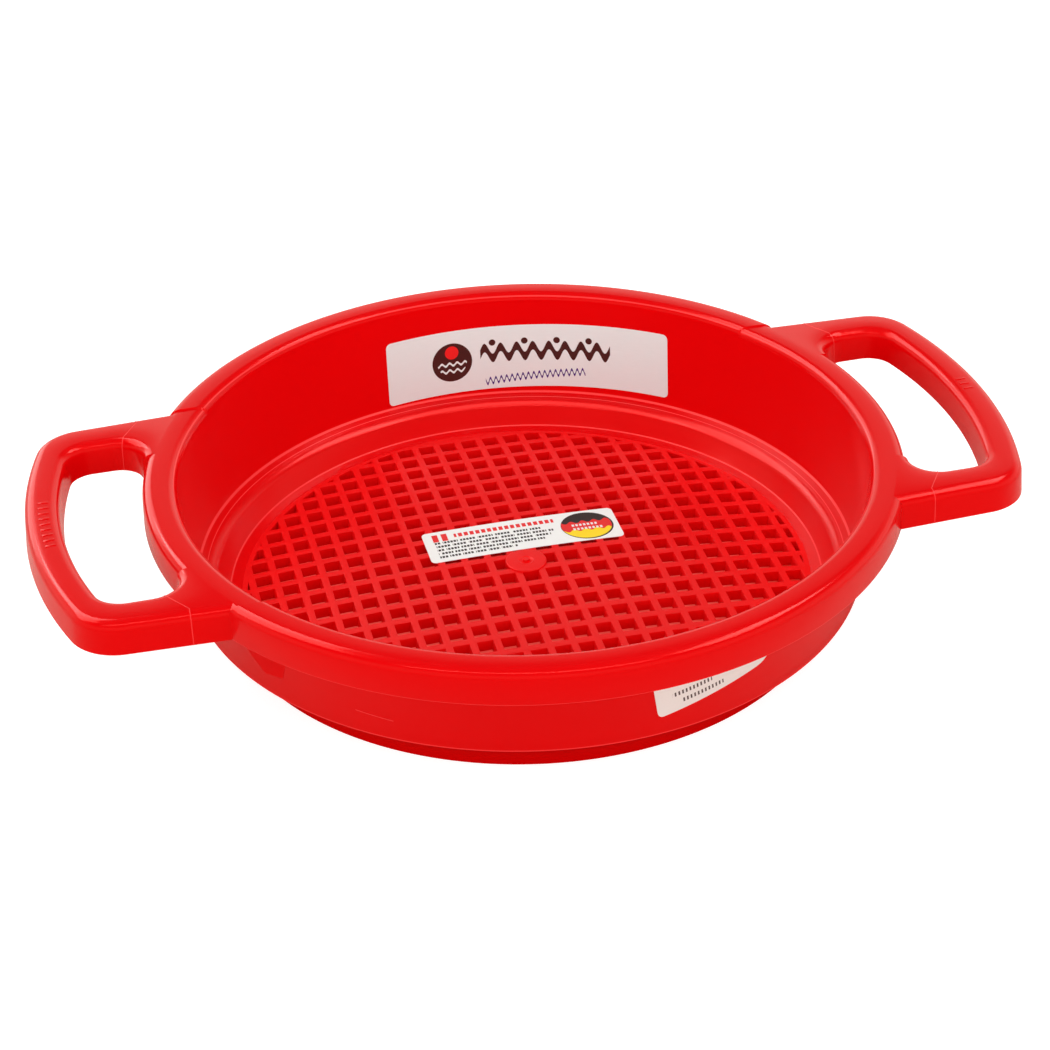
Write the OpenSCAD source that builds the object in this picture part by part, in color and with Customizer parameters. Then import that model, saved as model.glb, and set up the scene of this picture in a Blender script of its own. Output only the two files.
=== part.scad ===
// A two-handled sand sieve in rigid plastic: a shallow stepped bowl, a wide rim
// with a hanging skirt, a handle loop at each end and a slightly domed floor
// full of small oblong holes. Millimetres, Z up, the foot ring stands on Z = 0.

/* [Bowl] */

// Inside radius of the bowl at the rim
bowl_radius = 99.5; // [92:0.5:106]
// Height from the table to the top of the rim
bowl_height = 45; // [42:0.5:54]
// Thickness of the bowl wall
wall = 2; // [1.6:0.1:2.4]
// How far the wall leans in between the rim and the ledge
wall_lean = 3.3; // [2:0.1:5]
// Height of the corner where the wall meets the ledge
ledge_height = 11.5; // [10.5:0.5:15]
// How far the ledge stands in from the wall
ledge_width = 5; // [4:0.25:6]
// Rounding where the ledge turns down
ledge_round = 2.6; // [1.5:0.1:3]

/* [Rim] */

// Width of the rim from the inside edge to the outside of the skirt
rim_width = 9.7; // [9:0.1:13]
// Height of the skirt, and of the handles
rim_depth = 10.2; // [8:0.1:13]
// Rounding of the outer shoulder of the rim
rim_round = 2.9; // [1.5:0.1:3.5]
// Rounding of the inside edge of the rim
edge_round = 2.6; // [0.5:0.1:2.8]
// Thickness of the skirt and of the rim's top
rim_thickness = 2.3; // [1.8:0.1:2.6]

/* [Handles] */

// Clear depth of the finger opening, from the rim to the hand bar
finger_depth = 23.3; // [20:0.1:28]
// Clear width of the finger opening
finger_width = 84; // [74:1:92]
// Width of the hand bar
bar_width = 9.8; // [9:0.1:12]
// Width of the arms
arm_width = 11.5; // [9:0.5:13]
// Radius of the outer corners
outer_corner = 14; // [12:0.5:16]
// Radius of the corners of the finger opening
inner_corner = 8; // [6:0.5:9]
// Rounding of the top edges
bar_round = 2.9; // [0.5:0.1:3]
// How far the sides flare out towards the bottom
bar_flare = 0.5; // [0.2:0.1:1]
// Wall thickness of the hollow bars
bar_wall = 2.2; // [1.8:0.1:2.6]
// How far the handles lie below the top of the rim
handle_drop = 0.5; // [0.2:0.1:0.8]

/* [Sieve floor] */

// Height of the floor's top face at the wall
floor_height = 3.8; // [3.5:0.1:6]
// Thickness of the floor
floor_thickness = 3; // [2.4:0.1:3.2]
// How much higher the middle of the floor is
floor_rise = 4.1; // [2:0.1:5]
// Radius of the pierced field
field_radius = 82.2; // [72:0.1:82.5]
// Distance between holes along the handles' axis
pitch_x = 6.9; // [6.5:0.05:9]
// Distance between holes across the handles' axis
pitch_y = 7.7; // [7.3:0.05:9]
// Width of the bars between holes along the handles' axis
bar_x = 2.1; // [1.8:0.1:2.6]
// Width of the bars between holes across the handles' axis
bar_y = 2.4; // [2:0.1:2.9]
// How far the pierced field is turned from the handles' axis, in degrees
field_turn = -1.2; // [-3:0.2:3]
// Radius of the plain round disc in the middle
disc_radius = 6.1; // [5:0.1:8]

/* [Labels] */

// Length of the label on the inside wall
wall_label_length = 93; // [60:1:100]
// Height of the label on the inside wall
wall_label_height = 21.4; // [16:0.2:23]
// Length of the label on the floor
floor_label_length = 59; // [40:1:62]
// Width of the label on the floor
floor_label_width = 17; // [12:0.5:18]
// Length of the label on the outside wall
outer_label_length = 37; // [25:1:45]
// Height of the label on the outside wall
outer_label_height = 14; // [10:0.5:16]

/* [Hidden] */

// Heights of the rim
skirt_bottom = bowl_height - rim_depth;
rim_under = bowl_height - rim_thickness;
// Level at which the rim sits on the bowl wall
rim_seat = min(rim_under, bowl_height - edge_round) - 0.4;
handle_top = bowl_height - handle_drop;
// Outside radius of the skirt, and its small outward draft
rim_radius = bowl_radius + rim_width;
skirt_draft = 0.3;
// The wall's inner corner and the lower wall under the ledge
ledge_radius = bowl_radius - wall_lean;
shoulder_x = ledge_radius - ledge_width;
shoulder_z = ledge_height - 1.1;
floor_radius = shoulder_x - 3.9;
// Angle of the lower wall from upright
low_angle = atan2(shoulder_x - floor_radius, shoulder_z - floor_height);
// Angle of the ledge from level
ledge_angle = atan2(ledge_height - shoulder_z, ledge_width);
// Centre of the rounding where the ledge turns down into the lower wall
turn = 90 - low_angle - ledge_angle;
back_off = ledge_round * tan(turn / 2);
turn_x = shoulder_x + back_off * cos(ledge_angle) + ledge_round * sin(ledge_angle);
turn_z = shoulder_z + back_off * sin(ledge_angle) - ledge_round * cos(ledge_angle);
// Foot under the floor
foot_width = 2.6;
foot_wall = 1.6;
// Angle of the wall from upright
lean_angle = atan2(wall_lean, rim_seat - ledge_height);
insert_radius = floor_radius - 3.5;
// Sphere that gives the floor its rise
dome = (insert_radius * insert_radius + floor_rise * floor_rise) / (2 * floor_rise);
dome_z = floor_height + floor_rise - dome;
// Handles in plan
inner_bar_radius = rim_radius + finger_depth;
outer_bar_radius = inner_bar_radius + bar_width;
finger_half = finger_width / 2;
arm_half = finger_half + arm_width;
outer_c_y = arm_half - outer_corner;
outer_c_x = sqrt(pow(outer_bar_radius - outer_corner, 2) - outer_c_y * outer_c_y);
far_c_y = finger_half - inner_corner;
near_c_x = sqrt(pow(rim_radius + inner_corner, 2) - far_c_y * far_c_y);
far_c_x = sqrt(pow(inner_bar_radius - inner_corner, 2) - far_c_y * far_c_y);
outer_c_angle = atan2(outer_c_y, outer_c_x);
far_c_angle = atan2(far_c_y, far_c_x);
near_c_angle = atan2(far_c_y, near_c_x);
arm_toe = 2.35;
// The handles' own part begins at this radius
split_radius = rim_radius + 8.4;
top_skin = 2.4;
rib = 1.5;
sheet = 0.2;
big = 220;

red = [0.88, 0.04, 0.05];
paper = [0.93, 0.92, 0.9];

// Radius of the bowl's inside and outside at a height on the upper wall
function inside_at(z) = ledge_radius
    + wall_lean * (z - ledge_height) / (rim_seat - ledge_height);
function outside_at(z) = inside_at(z) + wall;

// Points of a rounded turn of radius r about the ledge's centre
function turn_points(r) = [for (k = [0:4])
    let (a = 90 + ledge_angle + k * turn / 4)
    [turn_x + r * cos(a), turn_z + r * sin(a)]];
function reversed(list) = [for (k = [len(list) - 1:-1:0]) list[k]];

// Cross-section of the stepped bowl with its foot and the plain edge of the floor
module bowl_section() {
    foot_x = floor_radius + foot_wall;
    under_turn = turn_points(ledge_round - wall);
    polygon(concat(
        [[outside_at(rim_seat), rim_seat],
         [outside_at(ledge_height + 0.4), ledge_height + 0.4],
         [outside_at(ledge_height) - 0.6, ledge_height],
         [shoulder_x + 3.4, ledge_height - 2],
         [foot_x, 1.2],
         [foot_x - 0.4, 0.35],
         [foot_x - 1.2, 0],
         [foot_x - foot_width - 0.6, 0],
         [foot_x - foot_width - 0.6, floor_height - floor_thickness],
         [insert_radius, floor_height - floor_thickness],
         [insert_radius, floor_height],
         [floor_radius, floor_height]],
        reversed(turn_points(ledge_round)),
        [[ledge_radius, ledge_height],
         [inside_at(rim_seat), rim_seat]]
    ));
}

module bowl() {
    color(red)
    rotate_extrude($fn = 96)
    bowl_section();
}

// Points of a quarter turn of radius r about x, z, from angle a0 to a1
function quarter(x, z, r, a0, a1) = [for (k = [0:5])
    let (a = a0 + (a1 - a0) * k / 5)
    [x + r * cos(a), z + r * sin(a)]];

// Cross-section of the rim: flat top, rounded shoulder and thin hanging skirt
module rim_section() {
    polygon(concat(
        [[bowl_radius, rim_seat]],
        quarter(bowl_radius + edge_round, bowl_height - edge_round, edge_round, 180, 90),
        quarter(rim_radius - rim_round, bowl_height - rim_round, rim_round, 90, 0),
        [[rim_radius + skirt_draft, skirt_bottom],
         [rim_radius + skirt_draft - rim_thickness, skirt_bottom],
         [rim_radius - rim_thickness, rim_under - 0.9],
         [rim_radius - rim_thickness - 0.9, rim_under],
         [bowl_radius + wall + 0.8, rim_under],
         [bowl_radius + wall, rim_seat]]
    ));
}

// One station of the loop: inner and outer edge points in plan, each with the
// direction from that edge into the plastic
function station(ci, ri, ai, co, ro, ao) = [
    ci + ri * [cos(ai), sin(ai)], [cos(ai), sin(ai)],
    co + ro * [cos(ao), sin(ao)], -[cos(ao), sin(ao)]
];

// Stations of half the loop, from the middle of the hand bar to inside the rim
bar_steps = 7;
corner_steps = 7;
root_steps = 6;
half_loop = concat(
    [for (k = [0:bar_steps]) let (f = k / bar_steps) station(
        [0, 0], inner_bar_radius, f * far_c_angle,
        [0, 0], outer_bar_radius, f * outer_c_angle)],
    [for (k = [1:corner_steps]) let (f = k / corner_steps) station(
        [far_c_x, far_c_y], inner_corner, far_c_angle + f * (90 - far_c_angle),
        [outer_c_x, outer_c_y], outer_corner,
        outer_c_angle + f * (90 - arm_toe - outer_c_angle))],
    [for (k = [0:root_steps]) let (f = k / root_steps) station(
        [near_c_x, far_c_y], inner_corner, 90 + f * (90 + near_c_angle),
        [outer_c_x, outer_c_y] - (outer_c_x - near_c_x + 3 + 16 * f)
            * [cos(arm_toe), -sin(arm_toe)],
        outer_corner, 90 - arm_toe)]
);

// A station's mirror image across the X axis
function flipped(st) = [for (v = st) [v[0], -v[1]]];

// The whole loop from one end to the other
loop = concat(
    [for (k = [len(half_loop) - 1:-1:1]) flipped(half_loop[k])],
    half_loop
);

// Upright section at a station: distance in from the edge and height
round_steps = 5;
function edge_side() = concat(
    [[bar_wall - bar_flare, skirt_bottom], [-bar_flare, skirt_bottom]],
    [for (k = [0:round_steps]) let (a = 90 * k / round_steps)
        [bar_round * (1 - cos(a)), handle_top - bar_round * (1 - sin(a))]]
);

// Ring of points round the hollow bar's section at a station
function section_at(st) = concat(
    [for (p = edge_side()) [each (st[2] + p[0] * st[3]), p[1]]],
    [for (p = reversed(edge_side())) [each (st[0] + p[0] * st[1]), p[1]]],
    [[each (st[0] + bar_wall * st[1]), handle_top - top_skin],
     [each (st[2] + bar_wall * st[3]), handle_top - top_skin]]
);

// The loop as one skin through its sections
module loop_bar() {
    rings = [for (st = loop) section_at(st)];
    n = len(rings[0]);
    last = (len(rings) - 1) * n;
    polyhedron(
        points = [for (ring = rings) each ring],
        faces = concat(
            [for (k = [0:len(rings) - 2], i = [0:n - 1])
                each let (a = k * n + i, b = k * n + (i + 1) % n)
                [[a, b + n, a + n], [a, b, b + n]]],
            end_faces(0, n, false),
            end_faces(last, n, true)
        )
    );
}

// Triangles that close the hollow section at an end: two sides and the top
function end_faces(first, n, back) =
    let (
        h = (n - 2) / 2,
        outer_in = n - 1,
        inner_in = n - 2,
        outer_fan = [for (k = [0:h - 2]) [outer_in, k, k + 1]],
        inner_fan = [for (k = [h:n - 4]) [inner_in, k, k + 1]],
        middle = [[outer_in, h - 1, h], [outer_in, h, inner_in]],
        all = concat(outer_fan, inner_fan, middle)
    )
    [for (t = all) back
        ? [first + t[0], first + t[1], first + t[2]]
        : [first + t[0], first + t[2], first + t[1]]];

// Ribs across the hollow underside of the hand bar
module bar_ribs() {
    for (a = [-16:8:16])
        rotate([0, 0, a])
        translate([inner_bar_radius + 1, -rib / 2, skirt_bottom + 1.5])
        cube([bar_width - 2, rib, rim_depth - handle_drop - 2.5]);
}

module ring_space(r, h) {
    translate([0, 0, -1])
    cylinder(r = r, h = h, $fn = 120);
}

// Short stubs of a handle, from the rim to where the handle's own part begins
module handle_roots() {
    intersection() {
        loop_bar();
        difference() {
            ring_space(split_radius, 80);
            ring_space(rim_radius - 1.7, 81);
        }
    }
}

module rim() {
    color(red) {
        difference() {
            rotate_extrude($fn = 120)
            rim_section();
            for (s = [-1, 1])
                translate([s * bowl_radius - 40, -0.8 - arm_half, handle_top])
                cube([80, 2 * arm_half + 1.6, 5]);
        }
        handle_roots();
        mirror([1, 0, 0])
        handle_roots();
    }
}

module one_handle() {
    difference() {
        union() {
            loop_bar();
            bar_ribs();
        }
        ring_space(split_radius, 80);
    }
}

module right_handle() {
    color(red)
    one_handle();
}

module left_handle() {
    color(red)
    mirror([1, 0, 0])
    one_handle();
}

// Half of a slab between two spheres: follows the rise of the floor
module dome_slab(low, high) {
    difference() {
        translate([0, 0, dome_z + high])
        rotate([90, 0, 0])
        sphere(r = dome, $fn = 240);
        translate([0, 0, dome_z + low])
        rotate([90, 0, 0])
        sphere(r = dome, $fn = 240);
    }
}

// The small oblong holes, cut off along the edge of the pierced field
module sieve_holes() {
    hole_x = pitch_x - bar_x;
    hole_y = pitch_y - bar_y;
    nx = ceil(field_radius / pitch_x);
    ny = ceil(field_radius / pitch_y);
    for (i = [-nx:nx])
        for (j = [-ny:ny]) {
            x = i * pitch_x;
            y = j * pitch_y;
            near = norm([x, y]);
            far = norm([abs(x) + hole_x / 2, abs(y) + hole_y / 2]);
            if (far < field_radius - 0.2) {
                translate([x - hole_x / 2, y - hole_y / 2, -1])
                cube([hole_x, hole_y, 20]);
            } else if (near < field_radius - 0.6) {
                intersection() {
                    translate([x - hole_x / 2, y - hole_y / 2, -1])
                    cube([hole_x, hole_y, 20]);
                    ring_space(field_radius, 30);
                }
            }
        }
}

module sieve_floor() {
    color(red)
    difference() {
        intersection() {
            ring_space(insert_radius, 30);
            dome_slab(-floor_thickness, 0);
        }
        ring_space(disc_radius, 30);
        rotate([0, 0, field_turn])
        sieve_holes();
    }
}

module centre_disc() {
    middle = floor_height + floor_rise;
    color(red)
    union() {
        translate([0, 0, middle - floor_thickness - 0.4])
        cylinder(r = disc_radius, h = floor_thickness + 1, $fn = 48);
        translate([0, 0, middle + 0.6])
        cylinder(r1 = 1.6, r2 = 1.2, h = 0.4, $fn = 24);
    }
}

// Rounded rectangle about the origin
module rounded(length, width, r) {
    square([length - 2 * r, width], center = true);
    square([length, width - 2 * r], center = true);
    for (x = [-1, 1])
        for (y = [-1, 1])
            translate([x * (length / 2 - r), y * (width / 2 - r)])
            circle(r = r, $fn = 20);
}

// Thin sheet lying on the bowl's wall, side 1 outside and -1 inside
module wall_sheet(side) {
    low = ledge_height + 1;
    high = rim_seat - 0.4;
    a = side > 0 ? outside_at(low) : inside_at(low) - sheet;
    b = side > 0 ? outside_at(high) : inside_at(high) - sheet;
    rotate_extrude($fn = 96)
    polygon([[a, low], [a + sheet, low], [b + sheet, high], [b, high]]);
}

module wall_label() {
    color(paper)
    intersection() {
        wall_sheet(-1);
        rotate([0, 0, 74.6])
        translate([inside_at(ledge_height), 0, ledge_height + 1.8 + wall_label_height / 2])
        rotate([0, lean_angle, 0])
        rotate([90, 1.1, 90])
        translate([0, 0, -big / 4])
        linear_extrude(height = big)
        rounded(wall_label_length, wall_label_height, 1.6);
    }
}

module floor_label() {
    color(paper)
    intersection() {
        dome_slab(0, sheet);
        rotate([0, 0, field_turn])
        translate([2.6, 15, 0])
        linear_extrude(height = big / 8)
        rounded(floor_label_length, floor_label_width, 2.2);
    }
}

module outer_label() {
    color(paper)
    intersection() {
        wall_sheet(1);
        rotate([0, 0, -74.4])
        translate([0, 0, ledge_height + 9.7 + outer_label_height / 2])
        rotate([90, -11.5, 90])
        linear_extrude(height = big)
        rounded(outer_label_length, outer_label_height, 2);
    }
}

bowl();
sieve_floor();
centre_disc();
rim();
left_handle();
right_handle();
wall_label();
floor_label();
outer_label();
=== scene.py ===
import bpy
import bmesh
import math
from mathutils import Matrix, Vector


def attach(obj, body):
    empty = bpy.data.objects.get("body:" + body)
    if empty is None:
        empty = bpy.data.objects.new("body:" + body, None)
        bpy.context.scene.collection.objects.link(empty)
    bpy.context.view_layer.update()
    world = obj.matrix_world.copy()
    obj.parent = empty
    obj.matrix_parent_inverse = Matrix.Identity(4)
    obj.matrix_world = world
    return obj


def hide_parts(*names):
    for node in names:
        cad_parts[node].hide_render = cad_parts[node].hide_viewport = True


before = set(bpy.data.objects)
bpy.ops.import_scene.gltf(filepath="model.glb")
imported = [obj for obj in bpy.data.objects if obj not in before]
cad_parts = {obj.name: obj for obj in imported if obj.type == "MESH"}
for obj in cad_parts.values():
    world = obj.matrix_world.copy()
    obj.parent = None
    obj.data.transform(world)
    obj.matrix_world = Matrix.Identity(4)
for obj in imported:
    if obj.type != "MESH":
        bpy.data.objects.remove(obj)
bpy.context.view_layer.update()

mm = 0.001
fullTurn = 2 * math.pi
origin = (0, 0, 0)
smoothAngle = 28
# points closer than this (m) become one: on outlines, where a spin closes, between cells
outlineGap, spinGap, cellGap = 0.000005, 0.000004, 0.00001


# small helpers that work as by hand

def deselectAll():
    if bpy.context.mode != "OBJECT":
        bpy.ops.object.mode_set(mode="OBJECT")
    bpy.ops.object.select_all(action="DESELECT")


def pickPiece(piece):
    deselectAll()
    piece.select_set(True)
    bpy.context.view_layer.objects.active = piece


def editAll():
    # into edit mode with everything selected
    bpy.ops.object.mode_set(mode="EDIT")
    bpy.ops.mesh.select_all(action="SELECT")


def startPoint(name, place):
    # one vertex at a place, ready to be extruded into an outline
    deselectAll()
    bpy.ops.mesh.primitive_plane_add(size=0.002)
    piece = bpy.context.object
    piece.name = piece.data.name = name
    bpy.ops.object.mode_set(mode="EDIT")
    bpy.ops.mesh.select_mode(type="VERT")
    bpy.ops.mesh.select_all(action="SELECT")
    bpy.ops.mesh.merge(type="CENTER")
    bpy.ops.transform.translate(value=place)
    return piece


def pickVerts(piece, test):
    # in edit mode: select the vertices that pass the test, and what they bound
    bpy.ops.mesh.select_mode(type="VERT")
    bpy.ops.mesh.select_all(action="DESELECT")
    work = bmesh.from_edit_mesh(piece.data)
    for v in work.verts:
        if test(v.co / mm):
            v.select = True
    work.select_flush(True)
    bmesh.update_edit_mesh(piece.data)


def drawOutline(name, points, closed=True):
    # points are (radius, height) in mm, drawn in the XZ plane
    piece = startPoint(name, (points[0][0] * mm, 0, points[0][1] * mm))
    route = list(points[1:]) + ([points[0]] if closed else [])
    last = points[0]
    for p in route:
        bpy.ops.mesh.extrude_region_move(TRANSFORM_OT_translate={
            "value": ((p[0] - last[0]) * mm, 0, (p[1] - last[1]) * mm)})
        last = p
    bpy.ops.mesh.select_all(action="SELECT")
    bpy.ops.mesh.remove_doubles(threshold=outlineGap)
    return piece


def roundCorner(piece, points, index, radius, segments):
    # rounds one corner of a drawn outline to a true radius
    p = Vector(points[index])
    a = (Vector(points[index - 1]) - p).normalized()
    b = (Vector(points[(index + 1) % len(points)]) - p).normalized()
    half = a.angle(b) / 2
    reach = 0.004
    pickVerts(piece, lambda co: abs(co.x - p.x) < reach and abs(co.z - p.y) < reach)
    bpy.ops.mesh.bevel(affect="VERTICES", offset_type="OFFSET",
                       offset=radius / math.tan(half) * mm, segments=segments, profile=0.5)


def spinOutline(piece, steps):
    bpy.ops.mesh.select_all(action="SELECT")
    bpy.ops.mesh.spin(steps=steps, angle=fullTurn, center=origin, axis=(0, 0, 1))
    bpy.ops.mesh.select_all(action="SELECT")
    bpy.ops.mesh.remove_doubles(threshold=spinGap)
    bpy.ops.mesh.normals_make_consistent(inside=False)
    bpy.ops.object.mode_set(mode="OBJECT")


def turnRoundZ(angle):
    # in edit mode: turns what is selected round the sieve's middle
    bpy.ops.transform.rotate(value=-angle, orient_axis="Z", center_override=origin)


def mirrorPiece(piece):
    # to the other side of the sieve
    pickPiece(piece)
    editAll()
    bpy.ops.transform.mirror(constraint_axis=(True, False, False), center_override=origin)
    bpy.ops.mesh.normals_make_consistent(inside=False)
    bpy.ops.object.mode_set(mode="OBJECT")


def pickOpenEdges():
    # in edit mode: select the edges that only one face touches
    bpy.ops.mesh.select_all(action="DESELECT")
    bpy.ops.mesh.select_mode(type="EDGE")
    bpy.ops.mesh.select_non_manifold(extend=False, use_wire=False, use_boundary=True,
                                     use_multi_face=False, use_non_contiguous=False,
                                     use_verts=False)


def smoothPiece(piece, angle):
    pickPiece(piece)
    bpy.ops.object.shade_smooth_by_angle(angle=math.radians(angle))


def joinInto(target, others):
    deselectAll()
    for o in others:
        o.select_set(True)
    target.select_set(True)
    bpy.context.view_layer.objects.active = target
    bpy.ops.object.join()


def addModifier(piece, kind, **settings):
    pickPiece(piece)
    mod = piece.modifiers.new(kind.title(), kind)
    for key, value in settings.items():
        setattr(mod, key, value)
    bpy.ops.object.modifier_apply(modifier=mod.name)


# materials

redPlastic = {
    "colour": (0.77, 0.0015, 0.003), "deepColour": (0.72, 0.0008, 0.002),
    "roughness": 0.14, "handleRoughness": 0.16, "sieveRoughness": 0.42, "bowlRoughness": 0.2,
    "reflectionTint": (1.0, 0.14, 0.12), "ior": 1.5,
    "cloudSize": 22, "flowSize": 60, "sheenChange": 0.02, "bumpDistance": 0.0001,
    "highlightRoughness": 0.24, "highlightBrighter": 1.15, "highlightPale": 0.04,
    "paintedShadeRoughness": 0.5, "paintedShadeBrighter": 1.02, "paintedShadeSpecular": 0.12,
}


def nodeAt(tree, kind, place, **values):
    n = tree.nodes.new(kind)
    n.location = place
    for key, value in values.items():
        setattr(n, key, value)
    return n


def makeRedPlastic(name, grainSize, grainDepth, roughness, streak=(1, 1, 1), brighter=1, pale=0):
    def paint(key):
        return (*(c * brighter + pale for c in redPlastic[key]), 1)

    mat = bpy.data.materials.new(name)
    mat.use_nodes = True
    tree = mat.node_tree
    bsdf = tree.nodes["Principled BSDF"]
    bsdf.inputs["IOR"].default_value = redPlastic["ior"]
    bsdf.inputs["Specular Tint"].default_value = (*redPlastic["reflectionTint"], 1)
    where = nodeAt(tree, "ShaderNodeTexCoord", (-1100, 0))
    cloudy = nodeAt(tree, "ShaderNodeTexNoise", (-850, 200))
    cloudy.inputs["Scale"].default_value = redPlastic["cloudSize"]
    cloudy.inputs["Detail"].default_value = 3
    tree.links.new(where.outputs["Object"], cloudy.inputs["Vector"])
    tone = nodeAt(tree, "ShaderNodeMixRGB", (-600, 250))
    tone.inputs["Color1"].default_value = paint("deepColour")
    tone.inputs["Color2"].default_value = paint("colour")
    tree.links.new(cloudy.outputs["Fac"], tone.inputs["Fac"])
    tree.links.new(tone.outputs["Color"], bsdf.inputs["Base Color"])
    stretch = nodeAt(tree, "ShaderNodeMapping", (-850, -100))
    stretch.inputs["Scale"].default_value = streak
    tree.links.new(where.outputs["Object"], stretch.inputs["Vector"])
    flow = nodeAt(tree, "ShaderNodeTexNoise", (-620, -100))
    flow.inputs["Scale"].default_value = redPlastic["flowSize"]
    flow.inputs["Detail"].default_value = 4
    tree.links.new(stretch.outputs["Vector"], flow.inputs["Vector"])
    sheen = nodeAt(tree, "ShaderNodeMapRange", (-400, -50))
    sheen.inputs["To Min"].default_value = roughness - redPlastic["sheenChange"]
    sheen.inputs["To Max"].default_value = roughness + redPlastic["sheenChange"]
    tree.links.new(flow.outputs["Fac"], sheen.inputs["Value"])
    tree.links.new(sheen.outputs["Result"], bsdf.inputs["Roughness"])
    grain = nodeAt(tree, "ShaderNodeTexNoise", (-620, -350))
    grain.inputs["Scale"].default_value = grainSize
    grain.inputs["Detail"].default_value = 2
    tree.links.new(where.outputs["Object"], grain.inputs["Vector"])
    bump = nodeAt(tree, "ShaderNodeBump", (-300, -350))
    bump.inputs["Strength"].default_value = grainDepth
    bump.inputs["Distance"].default_value = redPlastic["bumpDistance"]
    tree.links.new(grain.outputs["Fac"], bump.inputs["Height"])
    tree.links.new(bump.outputs["Normal"], bsdf.inputs["Normal"])
    return mat


shellRed = makeRedPlastic("shellRed", grainSize=500, grainDepth=0.12,
                          roughness=redPlastic["roughness"], streak=(1, 1, 4))
handleRed = makeRedPlastic("handleRed", grainSize=700, grainDepth=0.16,
                           roughness=redPlastic["handleRoughness"], streak=(1, 3, 1))
# the sieve's red is painted brighter than the rest of the plastic: painted light on the floor and
# disc
litSieveRed = makeRedPlastic("litSieveRed", grainSize=900, grainDepth=0.2,
                          roughness=redPlastic["sieveRoughness"], streak=(2, 2, 1), brighter=1.12)
bowlRed = makeRedPlastic("bowlRed", grainSize=500, grainDepth=0.05,
                         roughness=redPlastic["bowlRoughness"])
# a paler, brighter red for thin edges and lines: a painted highlight
paintedHighlightRed = makeRedPlastic("paintedHighlightRed", grainSize=500, grainDepth=0.05,
                         roughness=redPlastic["highlightRoughness"],
                         brighter=redPlastic["highlightBrighter"], pale=redPlastic["highlightPale"])
# a matte red that reflects little, for a patch of painted shade
paintedShadeRed = makeRedPlastic("paintedShadeRed", grainSize=500, grainDepth=0.1,
                          roughness=redPlastic["paintedShadeRoughness"],
                          brighter=redPlastic["paintedShadeBrighter"])
dull = paintedShadeRed.node_tree.nodes["Principled BSDF"].inputs["Specular IOR Level"]
dull.default_value = redPlastic["paintedShadeSpecular"]


def paintHighlightFaces(piece, test):
    # faces that pass the test get a paler red: painted highlight on thin edges and lines of the
    # moulding
    piece.data.materials.append(paintedHighlightRed)
    for face in piece.data.polygons:
        if test(face.center / mm) and face.material_index == 0:
            face.material_index = len(piece.data.materials) - 1


print("materials ready")


# bowl

bowl = {
    "steps": 256,
    "rimRadius": 99.5, "height": 45, "wall": 2, "wallLean": 3.3,
    "ledgeHeight": 11.5, "ledgeWidth": 5, "ledgeRound": 4, "ledgeFall": 1.1, "shoulderRun": 3.9,
    "floorHeight": 3.8, "floorThickness": 3, "seat": 42,
    "stepTop": 0.75, "stepLow": 0.3, "stepIn": 0.6, "stepFall": 0.15,
    "slantOut": 3.4, "slantFall": 2, "bandOut": 2.4, "bandIn": 2.7,
    "insertWidth": 3.5, "footWidth": 3.2, "footOut": 1.6, "footRise": 1.2, "footDraft": 0.25,
}
# a matte patch of painted shade and a fine raised line with a painted highlight, on the outer
# wall; their corners as (azimuth, height)
wallMarks = {
    "paintedShadePatch": ((-150.3, 18.4), (-146, 20), (-144.1, 28), (-157.9, 28)), "paintedShadeLift": 0.06,
    "fineLine": ((-131.8, 19.1), (-125.4, 18.3), (-125.4, 18.6), (-131.8, 19.4)), "lineLift": 0.09,
    "sink": 0.1, "cuts": (8, 4),
}
lean = bowl["wallLean"] / (bowl["seat"] - bowl["ledgeHeight"])
ledgeRadius = bowl["rimRadius"] - bowl["wallLean"]
shoulderX = ledgeRadius - bowl["ledgeWidth"]
shoulderZ = bowl["ledgeHeight"] - bowl["ledgeFall"]
floorRadius = shoulderX - bowl["shoulderRun"]
insertRadius = floorRadius - bowl["insertWidth"]


def insideAt(z):
    return ledgeRadius + lean * (z - bowl["ledgeHeight"])


def wallMark(corners, lift, paint):
    # a thin quadrilateral laid on the outer wall
    deselectAll()
    bpy.ops.mesh.primitive_grid_add(x_subdivisions=wallMarks["cuts"][0],
                                    y_subdivisions=wallMarks["cuts"][1], size=2)
    mark = bpy.context.object
    for v in mark.data.vertices:
        f, g = v.co.x / 2 + 0.5, v.co.y / 2 + 0.5
        low = Vector(corners[0]).lerp(Vector(corners[1]), f)
        high = Vector(corners[3]).lerp(Vector(corners[2]), f)
        azimuth, z = low.lerp(high, g)
        r = insideAt(z) + bowl["wall"] + lift
        a = math.radians(azimuth)
        v.co = Vector((r * math.cos(a), r * math.sin(a), z)) * mm
    mark.data.materials.append(paint)
    addModifier(mark, "SOLIDIFY", thickness=(lift + wallMarks["sink"]) * mm, offset=-1)
    return mark


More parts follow.
